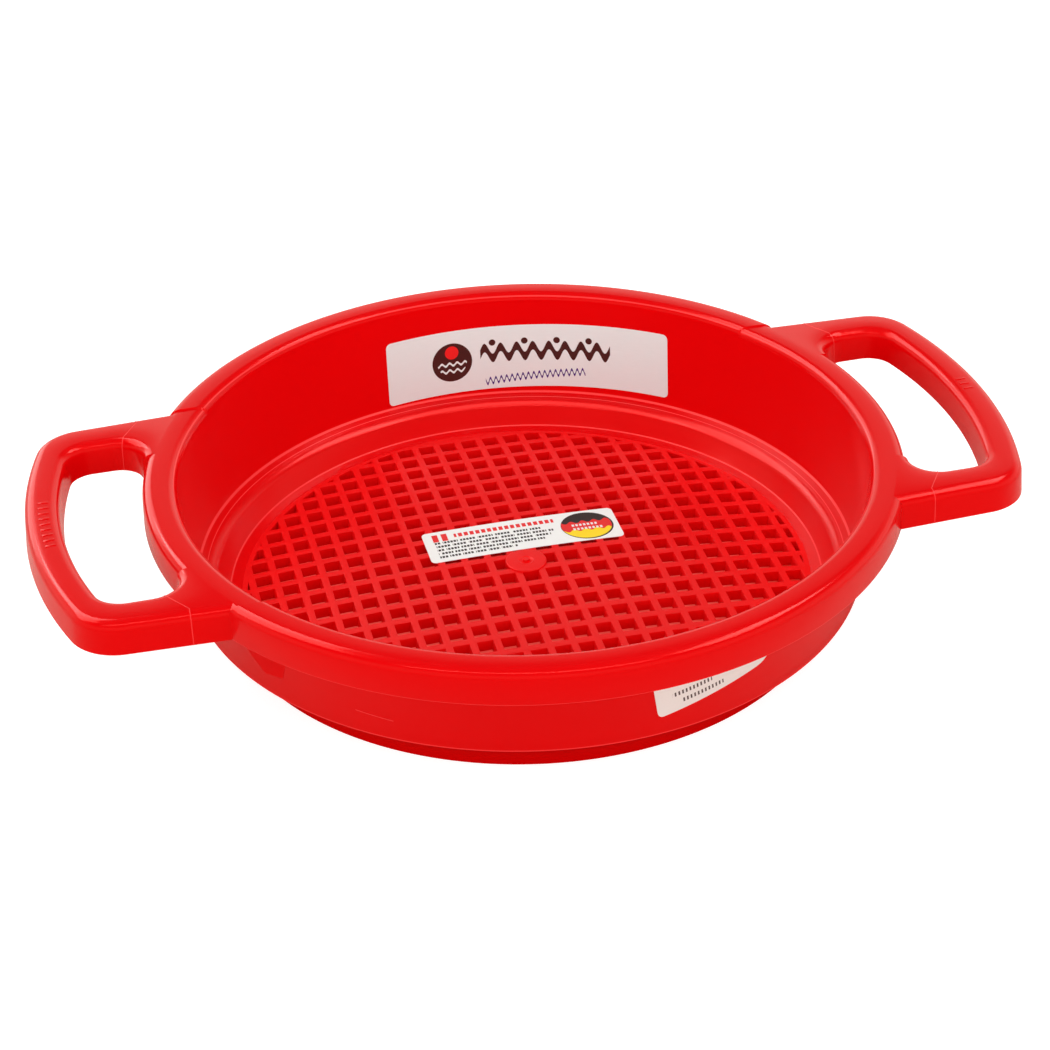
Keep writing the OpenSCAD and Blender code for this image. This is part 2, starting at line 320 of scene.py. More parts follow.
def makeBowlShell():
    seat, ledge, wall = bowl["seat"], bowl["ledgeHeight"], bowl["wall"]
    footX = floorRadius + bowl["footOut"]
    floorTop = bowl["floorHeight"]
    floorUnder = floorTop - bowl["floorThickness"]
    fall = bowl["ledgeFall"] / bowl["ledgeWidth"]
    stepTop, stepLow = ledge + bowl["stepTop"], ledge + bowl["stepLow"]
    # two points just inside the ledge's edge bound a narrow band, painted paler as a highlight
    # line
    bandOut, bandIn = bowl["bandOut"], bowl["bandIn"]
    outline = [
        (insideAt(seat), seat),
        (insideAt(seat) + wall, seat),
        (insideAt(stepTop) + wall, stepTop),
        (insideAt(stepLow) + wall, stepLow),
        (insideAt(ledge) + wall - bowl["stepIn"], ledge - bowl["stepFall"]),
        (shoulderX + bowl["slantOut"], ledge - bowl["slantFall"]),
        (footX, bowl["footRise"]),
        (footX - bowl["footDraft"], 0),
        (footX - bowl["footWidth"], 0),
        (footX - bowl["footWidth"], floorUnder),
        (insertRadius, floorUnder),
        (insertRadius, floorTop),
        (floorRadius, floorTop),
        (shoulderX, shoulderZ),
        (ledgeRadius - bandIn, ledge - bandIn * fall),
        (ledgeRadius - bandOut, ledge - bandOut * fall),
        (ledgeRadius, ledge),
    ]
    piece = drawOutline("bowlShell", outline)
    # corner of the outline, radius, segments
    for corner in ((3, 0.3, 3), (4, 0.3, 2), (7, 0.9, 4), (12, 0.5, 3),
                   (13, bowl["ledgeRound"], 10), (16, 0.9, 4)):
        roundCorner(piece, outline, *corner)
    spinOutline(piece, bowl["steps"])
    piece.data.materials.append(bowlRed)
    # a patch of painted shade under the skirt, then the fine raised line in the painted highlight
    # red
    joinInto(piece, [wallMark(wallMarks["paintedShadePatch"], wallMarks["paintedShadeLift"], paintedShadeRed)])
    joinInto(piece, [wallMark(wallMarks["fineLine"], wallMarks["lineLift"], paintedHighlightRed)])
    smoothPiece(piece, smoothAngle)

    # painted highlight lines: the outer step, the ledge's edge, the narrow band and the floor's
    # edge get the paler red
    def onPaintedHighlight(co):
        r = co.xy.length
        outerStep = r > 97.6 and ledge - 0.05 < co.z < ledge + 0.85
        ledgeEdge = abs(r - ledgeRadius) < 0.75 and ledge - 0.2 < co.z < ledge + 0.5
        band = abs(r - ledgeRadius + (bandIn + bandOut) / 2) < 0.1 and co.z > 10
        floorEdge = abs(r - floorRadius) < 0.45 and floorTop - 0.05 < co.z < floorTop + 0.5
        return outerStep or ledgeEdge or band or floorEdge

    paintHighlightFaces(piece, onPaintedHighlight)
    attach(piece, "root")
    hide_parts("bowl")
    return piece


bowlShell = makeBowlShell()
print("bowl shell done")


# handles and rim

rim = {
    "steps": 288, "width": 9.7, "depth": 10.2, "shoulder": 2.9, "inner": 2.6,
    "thickness": 2.3, "skirtDraft": 0.3, "step": 0.5, "stepAt": 54.3, "stepRun": 0.35,
    "sideFrom": 60, "highlightFrom": 44, "highlightTo": 57, "underOut": 0.8,
}
handle = {
    "fingerDepth": 23.3, "barWidth": 9.8, "fingerHalf": 42, "armWidth": 11.5, "sink": 0.015,
    "outerCorner": 14, "innerCorner": 8, "edge": 2.9, "flare": 0.5, "wall": 2.2,
    "skin": 2.4, "toe": 2.35, "edgeSteps": 7, "lowerCut": 0.25, "lowerInset": 0.02,
    "barSteps": 12, "armSteps": 4, "rootSteps": 10, "armRun": 9.1, "rootRun": 20.4,
    "rootTurn": 102, "rootShift": 1.2, "rootEnd": (-3.2, -1.2), "tail": 2,
    "ribs": 5, "ribGap": 8, "ribWidth": 1.5, "ribHeight": 6.5, "ribMiddle": 4.4,
    "ribInset": 2, "ribRound": 0.3,
    "leftGrips": 9, "rightGrips": 3, "gripGap": 2.9, "gripRadius": 136.9,
    "gripSize": (3, 0.8, 0.5), "gripRound": 0.15, "gripSink": 0.08, "gripShift": 0.014,
    "witness": 118, "witnessFoot": 0.15, "witnessCrown": 0.08,
    "witnessRise": 0.07, "witnessSink": 0.03,
}
rimRadius = bowl["rimRadius"] + rim["width"]
handleTop = bowl["height"] - rim["step"] - handle["sink"]
skirtBottom = bowl["height"] - rim["depth"]


def turned(angle):
    return Vector((math.cos(angle), math.sin(angle)))


def loopStations():
    # stations of half a handle, from the middle of the hand bar to inside the rim:
    # inner edge point, direction into the plastic, outer edge point, direction in
    h = handle
    innerBar = rimRadius + h["fingerDepth"]
    outerBar = innerBar + h["barWidth"]
    innerCorner, outerCorner = h["innerCorner"], h["outerCorner"]
    innerY = h["fingerHalf"] - innerCorner
    outerY = h["fingerHalf"] + h["armWidth"] - outerCorner
    outerC = Vector((math.sqrt((outerBar - outerCorner) ** 2 - outerY ** 2), outerY))
    farC = Vector((math.sqrt((innerBar - innerCorner) ** 2 - innerY ** 2), innerY))
    nearX = math.sqrt((rimRadius + innerCorner) ** 2 - innerY ** 2) + h["rootShift"]
    nearC = Vector((nearX, innerY))
    outerA = math.atan2(outerC.y, outerC.x)
    farA = math.atan2(farC.y, farC.x)
    toe = math.radians(h["toe"])
    quarter = math.pi / 2
    alongArm = Vector((math.cos(toe), -math.sin(toe)))
    stations = []

    def add(ci, ri, ai, co, ro, ao):
        stations.append((ci + ri * turned(ai), turned(ai), co + ro * turned(ao), -turned(ao)))

    centre = Vector((0, 0))
    for k in range(h["barSteps"] + 1):
        f = k / h["barSteps"]
        add(centre, innerBar, f * farA, centre, outerBar, f * outerA)
    for k in range(1, h["barSteps"] + 1):
        f = k / h["barSteps"]
        add(farC, innerCorner, farA + f * (quarter - farA),
            outerC, outerCorner, outerA + f * (quarter - toe - outerA))
    # straight arm as far as the mould line
    runIn = farC.x - nearC.x
    for k in range(1, h["armSteps"] + 1):
        f = k / h["armSteps"]
        add(farC - Vector((runIn * f, 0)), innerCorner, quarter,
            outerC - (f * h["armRun"]) * alongArm, outerCorner, quarter - toe)
    split = len(stations)
    pi, di, po, do = stations[-1]
    armEnd = po + do * outerCorner
    # the section at the mould line is flat, so that it closes cleanly
    across = (po - pi).normalized()
    stations[-1] = (pi, across, po, -across)
    # the inner edge turns along the rim while the outer edge runs straight on
    for k in range(1, h["rootSteps"] + 1):
        f = k / h["rootSteps"]
        add(nearC, innerCorner, quarter + f * math.radians(h["rootTurn"]),
            armEnd - (f * h["rootRun"]) * alongArm, outerCorner, quarter - toe)
    # last one runs into the rim
    pi, di, po, do = stations[-1]
    stations.append((pi + Vector(h["rootEnd"]), di, po - h["tail"] * alongArm, do))
    return stations, split


def edgeSide():
    h = handle
    side = [(h["wall"] - h["flare"], skirtBottom), (h["lowerCut"] - h["flare"], skirtBottom),
            (h["lowerInset"] - h["flare"], skirtBottom + h["lowerCut"])]
    for k in range(h["edgeSteps"] + 1):
        a = math.pi / 2 * k / h["edgeSteps"]
        side.append((h["edge"] * (1 - math.cos(a)), handleTop - h["edge"] * (1 - math.sin(a))))
    return side


def sectionAt(station, lift=0):
    # a lifted section keeps its lowest points where they are
    pi, di, po, do = station
    side = [(a, z + (lift if z > skirtBottom + 1 else 0)) for a, z in edgeSide()]
    ring = [(*(po + s[0] * do), s[1]) for s in side]
    ring += [(*(pi + s[0] * di), s[1]) for s in reversed(side)]
    channel = handleTop - handle["skin"]
    ring.append((*(pi + handle["wall"] * di), channel))
    ring.append((*(po + handle["wall"] * do), channel))
    return [Vector(p) * mm for p in ring]


def loftSections(name, sections):
    # a ring of points is drawn, then extruded from station to station
    piece = startPoint(name, sections[0][0])
    first = sections[0]
    count = len(first)
    for a, b in zip(first, first[1:]):
        bpy.ops.mesh.extrude_region_move(TRANSFORM_OT_translate={"value": b - a})
    bpy.ops.mesh.select_all(action="SELECT")
    work = bmesh.from_edit_mesh(piece.data)
    work.verts.ensure_lookup_table()
    work.verts.index_update()
    # the numbers of the points in the order in which they follow each other
    order, here, came = [0], work.verts[0], None
    while len(order) < count:
        came = next(e for e in here.link_edges if e is not came)
        here = came.other_vert(here)
        order.append(here.index)
    work.edges.new((work.verts[order[-1]], work.verts[0]))
    for e in work.edges:
        e.select = True
    bmesh.update_edit_mesh(piece.data)
    for ring in sections[1:]:
        bpy.ops.mesh.extrude_region_move(TRANSFORM_OT_translate={"value": (0, 0, 0)})
        work = bmesh.from_edit_mesh(piece.data)
        work.verts.ensure_lookup_table()
        fresh = list(work.verts)[-count:]
        # new points are numbered like the old ones
        for number, p in zip(order, ring):
            fresh[number].co = p
        bmesh.update_edit_mesh(piece.data)
    return piece


def closeEnds(piece):
    pickOpenEdges()
    bpy.ops.mesh.edge_face_add()
    bpy.ops.mesh.select_all(action="SELECT")
    bpy.ops.mesh.normals_make_consistent(inside=False)
    bpy.ops.object.mode_set(mode="OBJECT")


def flippedStation(station):
    return tuple(Vector((v[0], -v[1])) for v in station)


def addBar(size, rounding, radius, z, angle):
    # a rounded block across the hand bar
    deselectAll()
    bpy.ops.mesh.primitive_cube_add(size=1)
    bar = bpy.context.object
    bpy.ops.object.mode_set(mode="EDIT")
    bpy.ops.transform.resize(value=[s * mm for s in size])
    bpy.ops.mesh.bevel(affect="EDGES", offset=rounding * mm, segments=2)
    bpy.ops.transform.translate(value=(radius * mm, 0, z * mm))
    turnRoundZ(angle)
    bpy.ops.object.mode_set(mode="OBJECT")
    return bar


stations, splitAt = loopStations()


def makeHandle(name, node, side):
    h = handle
    half = stations[:splitAt]
    whole = [flippedStation(s) for s in reversed(half[1:])] + half
    piece = loftSections(name, [sectionAt(s) for s in whole])
    closeEnds(piece)
    bars = []
    # stiffening ribs across the hollow underside of the hand bar
    size = (h["barWidth"] - h["ribInset"], h["ribWidth"], h["ribHeight"])
    radius = rimRadius + h["fingerDepth"] + h["barWidth"] / 2
    for k in range(h["ribs"]):
        angle = math.radians((k - (h["ribs"] - 1) / 2) * h["ribGap"])
        bars.append(addBar(size, h["ribRound"], radius, skirtBottom + h["ribMiddle"], angle))
    # small plain raised bars on the grip
    count = h["leftGrips" if side < 0 else "rightGrips"]
    for k in range(count):
        angle = (k - (count - 1) / 2) * h["gripGap"] / h["gripRadius"] + h["gripShift"]
        bars.append(addBar(h["gripSize"], h["gripRound"], h["gripRadius"],
                           handleTop - h["gripSink"], angle))
    joinInto(piece, bars)
    if side < 0:
        mirrorPiece(piece)
    smoothPiece(piece, smoothAngle)
    piece.data.materials.append(handleRed)
    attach(piece, "root")
    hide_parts(node)


makeHandle("rightHandle", "right_handle", 1)
makeHandle("leftHandle", "left_handle", -1)
print("handles done")


def edgeCrossing(points, inward, radius):
    # where an edge of the arm crosses a circle round the middle of the sieve
    for k in range(len(points) - 1):
        a, b = points[k], points[k + 1]
        if a.length >= radius > b.length:
            f = (a.length - radius) / (a.length - b.length)
            return a.lerp(b, f), inward[k].lerp(inward[k + 1], f).normalized()


def makeWitness(flip):
    # fine raised line across an arm, where the parts of the mould met
    near = stations[splitAt - 4:]
    foot, crown = handle["witnessFoot"], handle["witnessCrown"]
    rise, sink = handle["witnessRise"], handle["witnessSink"]
    sections = []
    for step, lift in ((foot, -sink), (crown, rise), (-crown, rise), (-foot, -sink)):
        radius = handle["witness"] + step
        pi, di = edgeCrossing([s[0] for s in near], [s[1] for s in near], radius)
        po, do = edgeCrossing([s[2] for s in near], [s[3] for s in near], radius)
        station = (pi - lift * di, di, po - lift * do, do)
        sections.append(sectionAt(flippedStation(station) if flip else station, lift))
    line = loftSections("witnessLine", sections)
    bpy.ops.object.mode_set(mode="OBJECT")
    # the raised line gets the paler red, a painted highlight along it
    line.data.materials.append(paintedHighlightRed)
    return line


def makeRimRing():
    seat, top = bowl["seat"], bowl["height"]
    outer, thick = rimRadius, rim["thickness"]
    outline = [
        (insideAt(seat), seat),
        (insideAt(top), top),
        (outer, top),
        (outer + rim["skirtDraft"], skirtBottom),
        (outer + rim["skirtDraft"] - thick, skirtBottom),
        (outer - thick, top - thick),
        (insideAt(seat) + bowl["wall"] + rim["underOut"], top - thick),
        (insideAt(seat) + bowl["wall"], seat),
    ]
    piece = drawOutline("rimRing", outline)
    # corner of the outline, radius, segments
    for corner in ((1, rim["inner"], 8), (2, rim["shoulder"], 8), (3, 0.3, 3),
                   (4, 0.3, 2), (5, 0.9, 3)):
        roundCorner(piece, outline, *corner)
    spinOutline(piece, rim["steps"])
    piece.data.materials.append(shellRed)

    def atHandle(co):
        return abs(co.y) < rim["stepAt"] and abs(co.x) > rim["sideFrom"]

    def onRimTop(co):
        r = co.xy.length
        skin = co.z > top - thick + 0.05 or r > outer - 0.4 or r < bowl["rimRadius"] + 0.6
        return atHandle(co) and skin and co.z > seat + 0.05

    # the rim's top drops a little between the arms of each handle
    pickPiece(piece)
    bpy.ops.object.mode_set(mode="EDIT")
    for side in (-1, 1):
        for edge in (rim["stepAt"] - rim["stepRun"] / 2, rim["stepAt"] + rim["stepRun"] / 2):
            bpy.ops.mesh.select_all(action="SELECT")
            bpy.ops.mesh.bisect(plane_co=(0, side * edge * mm, 0), plane_no=(0, 1, 0))
    pickVerts(piece, onRimTop)
    bpy.ops.transform.translate(value=(0, 0, -rim["step"] * mm))
    bpy.ops.object.mode_set(mode="OBJECT")
    # roots of the four arms
    for side in (-1, 1):
        for flip in (False, True):
            root = [flippedStation(s) if flip else s for s in stations[splitAt - 1:]]
            stub = loftSections("armRoot", [sectionAt(s) for s in root])
            closeEnds(stub)
            stub.data.materials.append(shellRed)
            joinInto(stub, [makeWitness(flip)])
            if side < 0:
                mirrorPiece(stub)
            joinInto(piece, [stub])
    smoothPiece(piece, smoothAngle)

    def onPaintedHighlight(co):
        # painted highlight: a narrow band on the round of the rim's inner edge, and the skirt's
        # lower edge, get the paler red
        drop = rim["step"] if atHandle(co) else 0
        across = insideAt(top) + rim["inner"] - co.xy.length
        up = co.z + drop - top + rim["inner"]
        tilt = math.degrees(math.atan2(across, up))
        onRound = (rim["highlightFrom"] < tilt < rim["highlightTo"]
                   and abs(math.hypot(across, up) - rim["inner"]) < 0.2)
        onSkirt = co.z < skirtBottom + 0.35 and rimRadius - 0.1 < co.xy.length < rimRadius + 0.4
        return onRound or onSkirt

    paintHighlightFaces(piece, onPaintedHighlight)
    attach(piece, "root")
    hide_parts("rim")


makeRimRing()
print("rim done")


# sieve floor

sieve = {
    "fieldRadius": 82.2, "pitchX": 6.9, "pitchY": 7.7, "barX": 2.1, "barY": 2.4,
    "thickness": bowl["floorThickness"], "rise": 4.1, "turn": -1.2,
    "edge": 0.07, "taper": 0.38, "roundSteps": 192, "overlap": 0.3,
}


def floorRise(x, y):
    # height of the floor's top face at a place, mm
    ball = (insertRadius ** 2 + sieve["rise"] ** 2) / (2 * sieve["rise"])
    return bowl["floorHeight"] + sieve["rise"] - ball + math.sqrt(ball ** 2 - x * x - y * y)


def makeSieveFloor():
    s = sieve
    pitchX, pitchY, depth = s["pitchX"], s["pitchY"], s["thickness"]
    countX = math.ceil(s["fieldRadius"] / pitchX)
    countY = math.ceil(s["fieldRadius"] / pitchY)
    # the hole's size at the top and at the underside
    holeX, holeY = pitchX - s["barX"], pitchY - s["barY"]
    lowX, lowY = holeX - 2 * s["taper"], holeY - 2 * s["taper"]
    # one cell of the grid, its middle taken out
    deselectAll()
    bpy.ops.mesh.primitive_plane_add(size=1)
    piece = bpy.context.object
    piece.name = piece.data.name = "sieveFloor"
    bpy.ops.object.mode_set(mode="EDIT")
    bpy.ops.transform.resize(value=(pitchX * mm, pitchY * mm, 1))
    bpy.ops.mesh.inset(thickness=1 * mm)
    bpy.ops.transform.resize(value=(holeX / (pitchX - 2), holeY / (pitchY - 2), 1))
    bpy.ops.mesh.extrude_region_move(TRANSFORM_OT_translate={"value": (0, 0, -depth * mm)})
    bpy.ops.transform.resize(value=(lowX / holeX, lowY / holeY, 1))
    bpy.ops.mesh.delete(type="FACE")
    # the rim of the hole is a little rounded
    pickVerts(piece, lambda co: co.z > -0.1 and abs(co.x) < pitchX / 2 - 0.1
              and abs(co.y) < pitchY / 2 - 0.1)
    bpy.ops.mesh.bevel(affect="EDGES", offset=s["edge"] * mm, segments=2)
    # underside of the bars
    pickVerts(piece, lambda co: co.z < -depth + 0.1)
    bpy.ops.mesh.extrude_region_move(TRANSFORM_OT_translate={"value": (0, 0, 0)})
    bpy.ops.transform.resize(value=(pitchX / lowX, pitchY / lowY, 1), center_override=origin)
    # the cell is repeated over the field
    for count, stepX, stepY in ((2 * countX + 1, pitchX, 0), (2 * countY + 1, 0, pitchY)):
        addModifier(piece, "ARRAY", count=count, use_relative_offset=False,
                    use_constant_offset=True,
                    constant_offset_displace=(stepX * mm, stepY * mm, 0),
                    use_merge_vertices=True, merge_threshold=cellGap)
    editAll()
    bpy.ops.transform.translate(value=(-countX * pitchX * mm, -countY * pitchY * mm, 0))
    # the outside of the block is closed before it is cut round
    pickOpenEdges()
    bpy.ops.mesh.bridge_edge_loops()
    bpy.ops.mesh.select_all(action="SELECT")
    bpy.ops.mesh.normals_make_consistent(inside=False)
    deselectAll()
    bpy.ops.mesh.primitive_cylinder_add(vertices=s["roundSteps"], depth=20 * mm,
                                        radius=(s["fieldRadius"] + s["overlap"]) * mm)
    cutter = bpy.context.object
    addModifier(piece, "BOOLEAN", operation="INTERSECT", object=cutter, solver="EXACT")
    bpy.data.objects.remove(cutter)
    # the plain edge of the field, turned with it
    edge = [(s["fieldRadius"], 0), (insertRadius, 0), (insertRadius, -depth),
            (s["fieldRadius"], -depth)]
    margin = drawOutline("fieldEdge", edge)
    spinOutline(margin, s["roundSteps"])
    joinInto(piece, [margin])
    editAll()
    turnRoundZ(math.radians(s["turn"]))
    bpy.ops.object.mode_set(mode="OBJECT")
    for v in piece.data.vertices:
        v.co.z += floorRise(v.co.x / mm, v.co.y / mm) * mm
    smoothPiece(piece, smoothAngle)
    piece.data.materials.append(litSieveRed)
    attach(piece, "root")
    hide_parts("sieve_floor")


makeSieveFloor()
print("sieve floor done")


# the small disc in the middle, with one plain dimple as (radius, rise)
disc = {
    "radius": 6.1, "below": 3.4, "rise": 0.5, "round": 0.45, "steps": 64, "smooth": 35,
    "dimple": ((2.2, 0.5), (1.7, 0.15), (1.2, 0.15), (0.9, 0.9)),
}


def makeCentreDisc():
    top = floorRise(0, 0)
    outline = [(0, top - disc["below"]), (disc["radius"], top - disc["below"]),
               (disc["radius"], top + disc["rise"])]
    outline += [(r, top + z) for r, z in disc["dimple"]]
    outline.append((0, outline[-1][1]))
    piece = drawOutline("centreDisc", outline, closed=False)
    roundCorner(piece, outline, 2, disc["round"], 4)
    spinOutline(piece, disc["steps"])
    smoothPiece(piece, disc["smooth"])
    piece.data.materials.append(litSieveRed)
    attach(piece, "root")
    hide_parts("centre_disc")


makeCentreDisc()
print("centre disc done")


# labels

wallLabel = {
    "length": 93, "height": 21.4, "corner": 1.6, "cuts": 48, "azimuth": 74.6, "roll": 1.1,
    "middle": 24.0, "film": 0.12, "lift": -0.05, "colour": (0.745, 0.95, 0.96),
}
floorLabel = {
    "length": 59, "height": 17, "corner": 2.2, "cuts": 40, "place": (2.6, 15), "turn": -1.2,
    "film": 0.15, "lift": 0.03, "colour": (0.9, 0.94, 0.92),
}
outerLabel = {
    "length": 37, "height": 14, "corner": 2, "wideCorner": 6, "cuts": 24, "azimuth": -74.4,
    "roll": 11.5, "middle": 28.2, "film": 0.12, "lift": 0.05, "colour": (0.83, 0.87, 0.86),
}
labelFilm = {
    "cornerSteps": 5, "smooth": 35, "roughness": 0.38, "ior": 1.45,
    "paperSize": 30, "paperChange": 0.015,
}
inks = {
    "brown": (0.045, 0.008, 0.006), "red": (0.80, 0.008, 0.008), "violet": (0.03, 0.015, 0.24),
    "black": (0.012, 0.01, 0.01), "grey": (0.07, 0.06, 0.06), "yellow": (1.0, 0.74, 0.0),
    "pale": (0.85, 0.85, 0.85),
}
# places on the prints run from 0 to 1 along the sheet and up it:
# boxes are (left, right, low, high), ovals (middle, reach), dashes (count, share)
wallPrint = {
    "oval": ((0.235, 0.5), (0.0705, 0.306)), "water": ((0.235, 0.5), (0.052, 0.23)),
    "waterLevels": (0.36, 0.47), "waterHalf": 0.018, "waterWave": (230, 0.022),
    "sun": ((0.235, 0.655), (0.024, 0.105)),
    "wave": (112, 0.085), "waveUp": (0.51, 0.65), "waveAlong": (0.335, 0.79),
    "drops": 4, "firstDrop": (0.378, 0.745), "dropGap": 0.1122, "dropReach": (0.0115, 0.05),
    "curl": (330, 0.045), "curlAlong": (0.35, 0.7), "curlSlope": 0.36, "curlLevel": 0.12,
    "curlHalf": 0.022,
}
floorPrint = {
    "bold": (0.045, 0.14, 0.66, 0.9), "boldDashes": (21, 0.62),
    "heading": (0.16, 0.68, 0.73, 0.85), "headingDashes": (33, 0.68),
    "rowEnds": (0.6, 0.66, 0.64, 0.6, 0.45), "rowStart": 0.05, "rowLevel": 0.61,
    "rowGap": 0.115, "rowHalf": 0.032, "fineDashes": (61, 0.74), "fineShift": 0.3,
    "longDashes": (11, 0.86), "longShift": 0.37,
    "border": ((0.838, 0.49), (0.136, 0.45)), "oval": ((0.835, 0.5), (0.131, 0.43)),
    "tide": (105, 0.035), "redBelow": 0.64, "yellowBelow": 0.36,
    "marks": ((0.755, 0.9, 0.5, 0.57), (0.76, 0.92, 0.37, 0.44)), "markDashes": (50, 0.6),
}
outerPrint = {
    "lines": ((0.13, 0.45, 0.43), (0.2, 0.54, 0.215)), "slope": -0.1, "half": 0.05,
    "dashes": (34, 0.45),
}


def flatLabel(name, label):
    # a sheet in the XY plane with rounded corners and its own UV map
    length, height, cuts = label["length"], label["height"], label["cuts"]
    deselectAll()
    bpy.ops.mesh.primitive_grid_add(x_subdivisions=cuts, y_subdivisions=max(4, cuts // 4), size=1)
    piece = bpy.context.object
    piece.name = piece.data.name = name
    bpy.ops.object.mode_set(mode="EDIT")
    bpy.ops.transform.resize(value=(length * mm, height * mm, 1))
    pickVerts(piece, lambda co: abs(abs(co.x) - length / 2) < 0.01
              and abs(abs(co.y) - height / 2) < 0.01)
    bpy.ops.mesh.bevel(affect="VERTICES", offset=label["corner"] * mm,
                       segments=labelFilm["cornerSteps"], clamp_overlap=False)
    bpy.ops.object.mode_set(mode="OBJECT")
    sheetMap = piece.data.uv_layers.active or piece.data.uv_layers.new(name="sheet")
    sheetMap.name = "sheet"
    for loop in piece.data.loops:
        co = piece.data.vertices[loop.vertex_index].co / mm
        sheetMap.data[loop.index].uv = (co.x / length + 0.5, co.y / height + 0.5)
    return piece


def sums(tree, operation, *values):
    n = nodeAt(tree, "ShaderNodeMath", (-1000, 0), operation=operation)
    for slot, value in zip(n.inputs, values):
        if isinstance(value, (int, float)):
            slot.default_value = value
        else:
            tree.links.new(value, slot)
    return n.outputs["Value"]


def both(tree, first, second):
    return sums(tree, "MULTIPLY", first, second)


def within(tree, value, low, high):
    return sums(tree, "COMPARE", value, (low + high) / 2, (high - low) / 2)


def boxArea(tree, u, v, box):
    return both(tree, within(tree, u, *box[:2]), within(tree, v, *box[2:]))


def ovalArea(tree, u, v, oval):
    squares = []
    for value, centre, reach in zip((u, v), *oval):
        off = sums(tree, "DIVIDE", sums(tree, "SUBTRACT", value, centre), reach)
        squares.append(sums(tree, "POWER", sums(tree, "ABSOLUTE", off), 2))
    return sums(tree, "LESS_THAN", sums(tree, "ADD", *squares), 1)


def dashes(tree, u, count, share, shift=0):
    along = sums(tree, "FRACT", sums(tree, "MULTIPLY_ADD", u, count, shift))
    return sums(tree, "LESS_THAN", along, share)


def wavy(tree, u, count, swing):
    return sums(tree, "MULTIPLY", sums(tree, "SINE", sums(tree, "MULTIPLY", u, count)), swing)


def sloping(tree, u, start, slope, level):
    return sums(tree, "MULTIPLY_ADD", sums(tree, "SUBTRACT", u, start), slope, level)


def filmMaterial(name, colour, design):
    mat = bpy.data.materials.new(name)
    mat.use_nodes = True
    tree = mat.node_tree
    bsdf = tree.nodes["Principled BSDF"]
    bsdf.inputs["Roughness"].default_value = labelFilm["roughness"]
    bsdf.inputs["IOR"].default_value = labelFilm["ior"]
    uv = nodeAt(tree, "ShaderNodeUVMap", (-1700, 0))
    uv.uv_map = "sheet"
    split = nodeAt(tree, "ShaderNodeSeparateXYZ", (-1500, 0))
    tree.links.new(uv.outputs["UV"], split.inputs["Vector"])
    paper = nodeAt(tree, "ShaderNodeTexNoise", (-900, 400))
    paper.inputs["Scale"].default_value = labelFilm["paperSize"]
    tree.links.new(uv.outputs["UV"], paper.inputs["Vector"])
    ground = nodeAt(tree, "ShaderNodeMixRGB", (-600, 400))
    change = labelFilm["paperChange"]
    ground.inputs["Color1"].default_value = (*(c - change for c in colour), 1)
    ground.inputs["Color2"].default_value = (*(c + change for c in colour), 1)
    tree.links.new(paper.outputs["Fac"], ground.inputs["Fac"])
    last = ground.outputs["Color"]
    for area, ink in design(tree, split.outputs["X"], split.outputs["Y"], last):
        layer = nodeAt(tree, "ShaderNodeMixRGB", (-400, 200))
        tree.links.new(area, layer.inputs["Fac"])
        tree.links.new(last, layer.inputs["Color1"])
        if isinstance(ink, tuple):
            layer.inputs["Color2"].default_value = (*ink, 1)
        else:
            tree.links.new(ink, layer.inputs["Color2"])
        last = layer.outputs["Color"]
    tree.links.new(last, bsdf.inputs["Base Color"])
    return mat


def wallDesign(tree, u, v, paper):
    # a plain sun-and-waves picture, a thick wave with drops and a thin wavy line
    p = wallPrint
    yield ovalArea(tree, u, v, p["oval"]), inks["brown"]
    for level in p["waterLevels"]:
        height = sums(tree, "SUBTRACT", v, wavy(tree, u, *p["waterWave"]))
        wave = within(tree, height, level - p["waterHalf"], level + p["waterHalf"])
        yield both(tree, wave, ovalArea(tree, u, v, p["water"])), paper
    yield ovalArea(tree, u, v, p["sun"]), inks["red"]
    height = sums(tree, "SUBTRACT", v, wavy(tree, u, *p["wave"]))
    body = within(tree, height, *p["waveUp"])
    yield both(tree, body, within(tree, u, *p["waveAlong"])), inks["brown"]
    for k in range(p["drops"]):
        place = (p["firstDrop"][0] + p["dropGap"] * k, p["firstDrop"][1])
        yield ovalArea(tree, u, v, (place, p["dropReach"])), inks["brown"]
    rise = sloping(tree, u, p["curlAlong"][0], p["curlSlope"], p["curlLevel"])
    curl = sums(tree, "ADD", wavy(tree, u, *p["curl"]), rise)
    line = within(tree, sums(tree, "SUBTRACT", v, curl), -p["curlHalf"], p["curlHalf"])
    yield both(tree, line, within(tree, u, *p["curlAlong"])), inks["violet"]


def floorDesign(tree, u, v, paper):
    # a dashed heading, five dashed lines and an oval picture of sand and waves
    p = floorPrint
    for area in ("bold", "heading"):
        strokes = dashes(tree, u, *p[area + "Dashes"])
        yield both(tree, boxArea(tree, u, v, p[area]), strokes), inks["red"]
    for k, end in enumerate(p["rowEnds"]):
        level = p["rowLevel"] - p["rowGap"] * k
        box = (p["rowStart"], end, level - p["rowHalf"], level + p["rowHalf"])
        fine = dashes(tree, u, *p["fineDashes"], p["fineShift"] * k)
        count, share = p["longDashes"]
        long = dashes(tree, u, count + k, share, p["longShift"] * k)
        yield both(tree, boxArea(tree, u, v, box), both(tree, fine, long)), inks["black"]
    yield ovalArea(tree, u, v, p["border"]), inks["black"]
    oval = ovalArea(tree, u, v, p["oval"])
    tide = sums(tree, "ADD", v, wavy(tree, u, *p["tide"]))
    for ink in ("red", "yellow"):
        yield both(tree, oval, sums(tree, "LESS_THAN", tide, p[ink + "Below"])), inks[ink]
    for box in p["marks"]:
        strokes = dashes(tree, u, *p["markDashes"])
        yield both(tree, boxArea(tree, u, v, box), strokes), inks["pale"]


